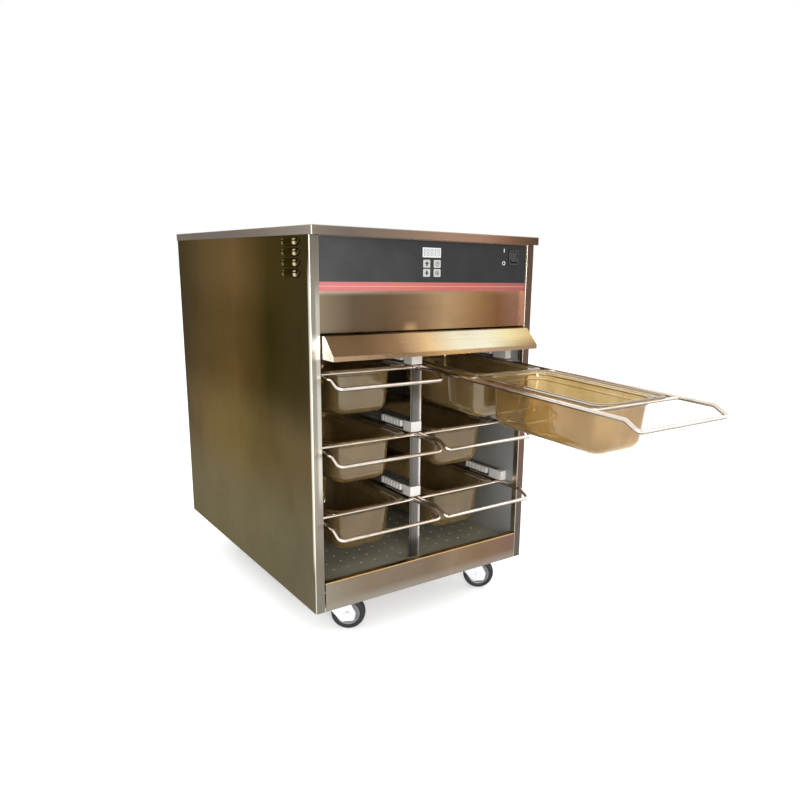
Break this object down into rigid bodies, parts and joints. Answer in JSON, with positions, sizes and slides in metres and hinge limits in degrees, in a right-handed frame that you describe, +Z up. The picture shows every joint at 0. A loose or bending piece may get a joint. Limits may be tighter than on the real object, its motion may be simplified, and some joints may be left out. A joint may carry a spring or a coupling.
{
  "type": "food holding cabinet",
  "caption": "Mobile hot-food holding cabinet: open-fronted steel body on swivel casters, with sliding wire carriers that hold amber pans under a heated-air head.",
  "frame": {"origin": "on the floor, at the middle of the cabinet's footprint", "axes": "+X to the cabinet's right, -Y out of its open front, +Z up"},
  "size_m": [0.562, 1.328, 0.855],
  "materials": {
    "stainless_skin": "brushed",
    "chamber_steel": "brushed, warm and slightly stained",
    "overlay_film": "fine satin film",
    "display": "smooth",
    "key_cap": "satin",
    "switch_black": "satin",
    "board": "coated",
    "insulation": "fibrous",
    "guide_plastic": "moulded",
    "heater_sheath": "heat darkened",
    "motor_enamel": "enamel",
    "fan_metal": "satin",
    "probe_steel": "bright",
    "gland_plastic": "moulded",
    "carrier_rod": "polished",
    "pan_amber": "clear and glossy",
    "caster_tyre": "satin",
    "caster_zinc": "zinc plated"
  },
  "bodies": {
    "cabinet": {"left_side_panel": "stainless_skin", "right_side_panel": "stainless_skin", "back_panel": "stainless_skin", "top_cover": "stainless_skin", "base_pan": "stainless_skin", "front_bottom_rail": "stainless_skin", "fascia_panel": "stainless_skin", "control_panel": "stainless_skin", "control_overlay": "overlay_film", "display_window": "display", "switch_bezel": "switch_black", "control_board": "board", "air_hood": "stainless_skin", "left_liner": "chamber_steel", "right_liner": "chamber_steel", "insulation_panels": "insulation", "interior_floor": "chamber_steel", "interior_ceiling": "chamber_steel", "rear_baffle": "chamber_steel", "divider_posts": "chamber_steel", "centre_rails": "chamber_steel", "wall_rails": "chamber_steel", "guide_blocks": "guide_plastic", "heating_element": "heater_sheath", "blower_motor": "motor_enamel", "temperature_probe": "probe_steel", "cord_gland": "gland_plastic", "panel_screws": "probe_steel", "caster_plates": "caster_zinc"},
    "fan": {"fan_wheel": "fan_metal"},
    "up_key": {"key_up": "key_cap"},
    "down_key": {"key_down": "key_cap"},
    "time_key": {"key_time": "key_cap"},
    "set_key": {"key_set": "key_cap"},
    "rocker": {"power_rocker": "switch_black"},
    "left_top_carrier": {"carrier_left_top": "carrier_rod", "pans_left_top": "pan_amber"},
    "left_middle_carrier": {"carrier_left_middle": "carrier_rod", "pans_left_middle": "pan_amber"},
    "left_bottom_carrier": {"carrier_left_bottom": "carrier_rod", "pans_left_bottom": "pan_amber"},
    "right_top_carrier": {"carrier_right_top": "carrier_rod", "pan_right_top_rear": "pan_amber"},
    "right_middle_carrier": {"carrier_right_middle": "carrier_rod", "pans_right_middle": "pan_amber"},
    "right_bottom_carrier": {"carrier_right_bottom": "carrier_rod", "pans_right_bottom": "pan_amber"},
    "lift_out_pan": {"pan_right_top_front": "pan_amber"},
    "front_left_swivel": {"caster_fork_front_left": "caster_zinc", "caster_axle_front_left": "caster_zinc"},
    "front_left_wheel": {"caster_wheel_front_left": "caster_tyre"},
    "front_right_swivel": {"caster_fork_front_right": "caster_zinc", "caster_axle_front_right": "caster_zinc"},
    "front_right_wheel": {"caster_wheel_front_right": "caster_tyre"},
    "rear_left_swivel": {"caster_fork_rear_left": "caster_zinc", "caster_axle_rear_left": "caster_zinc"},
    "rear_left_wheel": {"caster_wheel_rear_left": "caster_tyre"},
    "rear_right_swivel": {"caster_fork_rear_right": "caster_zinc", "caster_axle_rear_right": "caster_zinc"},
    "rear_right_wheel": {"caster_wheel_rear_right": "caster_tyre"}
  },
  "joints": [
    {"name": "fan_spin", "type": "hinge", "parent": "cabinet", "child": "fan", "pos_m": [0, 0.199, 0.679], "axis": [0, 0, 1], "continuous": true},
    {"name": "up_key_press", "type": "slide", "parent": "cabinet", "child": "up_key", "axis": [0, 1, 0], "range_m": [0, 0.0008], "stiffness_N_per_m": 300, "springref_m": -0.001},
    {"name": "down_key_press", "type": "slide", "parent": "cabinet", "child": "down_key", "axis": [0, 1, 0], "range_m": [0, 0.0008], "stiffness_N_per_m": 300, "springref_m": -0.001},
    {"name": "time_key_press", "type": "slide", "parent": "cabinet", "child": "time_key", "axis": [0, 1, 0], "range_m": [0, 0.0008], "stiffness_N_per_m": 300, "springref_m": -0.001},
    {"name": "set_key_press", "type": "slide", "parent": "cabinet", "child": "set_key", "axis": [0, 1, 0], "range_m": [0, 0.0008], "stiffness_N_per_m": 300, "springref_m": -0.001},
    {"name": "rocker_tilt", "type": "hinge", "parent": "cabinet", "child": "rocker", "pos_m": [0.218, -0.3795, 0.81], "axis": [1, 0, 0], "range_deg": [0, 18]},
    {"name": "left_top_carrier_slide", "type": "slide", "parent": "cabinet", "child": "left_top_carrier", "axis": [0, -1, 0], "range_m": [0, 0.483]},
    {"name": "left_middle_carrier_slide", "type": "slide", "parent": "cabinet", "child": "left_middle_carrier", "axis": [0, -1, 0], "range_m": [0, 0.483]},
    {"name": "left_bottom_carrier_slide", "type": "slide", "parent": "cabinet", "child": "left_bottom_carrier", "axis": [0, -1, 0], "range_m": [0, 0.483]},
    {"name": "right_top_carrier_slide", "type": "slide", "parent": "cabinet", "child": "right_top_carrier", "axis": [0, -0.9997, -0.0253], "range_m": [-0.483, 0]},
    {"name": "right_middle_carrier_slide", "type": "slide", "parent": "cabinet", "child": "right_middle_carrier", "axis": [0, -1, 0], "range_m": [0, 0.483]},
    {"name": "right_bottom_carrier_slide", "type": "slide", "parent": "cabinet", "child": "right_bottom_carrier", "axis": [0, -1, 0], "range_m": [0, 0.483]},
    {"name": "pan_lift", "type": "slide", "parent": "right_top_carrier", "child": "lift_out_pan", "axis": [0, -0.0253, 0.9997], "range_m": [0, 0.12]},
    {"name": "front_left_swivel_turn", "type": "hinge", "parent": "cabinet", "child": "front_left_swivel", "pos_m": [-0.1855, -0.286, 0.087], "axis": [0, 0, 1], "continuous": true},
    {"name": "front_left_wheel_roll", "type": "hinge", "parent": "front_left_swivel", "child": "front_left_wheel", "pos_m": [-0.15915, -0.30586, 0.038], "axis": [0.6018, 0.7986, 0], "continuous": true},
    {"name": "front_right_swivel_turn", "type": "hinge", "parent": "cabinet", "child": "front_right_swivel", "pos_m": [0.1855, -0.286, 0.087], "axis": [0, 0, 1], "continuous": true},
    {"name": "front_right_wheel_roll", "type": "hinge", "parent": "front_right_swivel", "child": "front_right_wheel", "pos_m": [0.21185, -0.30586, 0.038], "axis": [0.6018, 0.7986, 0], "continuous": true},
    {"name": "rear_left_swivel_turn", "type": "hinge", "parent": "cabinet", "child": "rear_left_swivel", "pos_m": [-0.1855, 0.286, 0.087], "axis": [0, 0, 1], "continuous": true},
    {"name": "rear_left_wheel_roll", "type": "hinge", "parent": "rear_left_swivel", "child": "rear_left_wheel", "pos_m": [-0.15915, 0.26614, 0.038], "axis": [0.6018, 0.7986, 0], "continuous": true},
    {"name": "rear_right_swivel_turn", "type": "hinge", "parent": "cabinet", "child": "rear_right_swivel", "pos_m": [0.1855, 0.286, 0.087], "axis": [0, 0, 1], "continuous": true},
    {"name": "rear_right_wheel_roll", "type": "hinge", "parent": "rear_right_swivel", "child": "rear_right_wheel", "pos_m": [0.21185, 0.26614, 0.038], "axis": [0.6018, 0.7986, 0], "continuous": true}
  ]
}
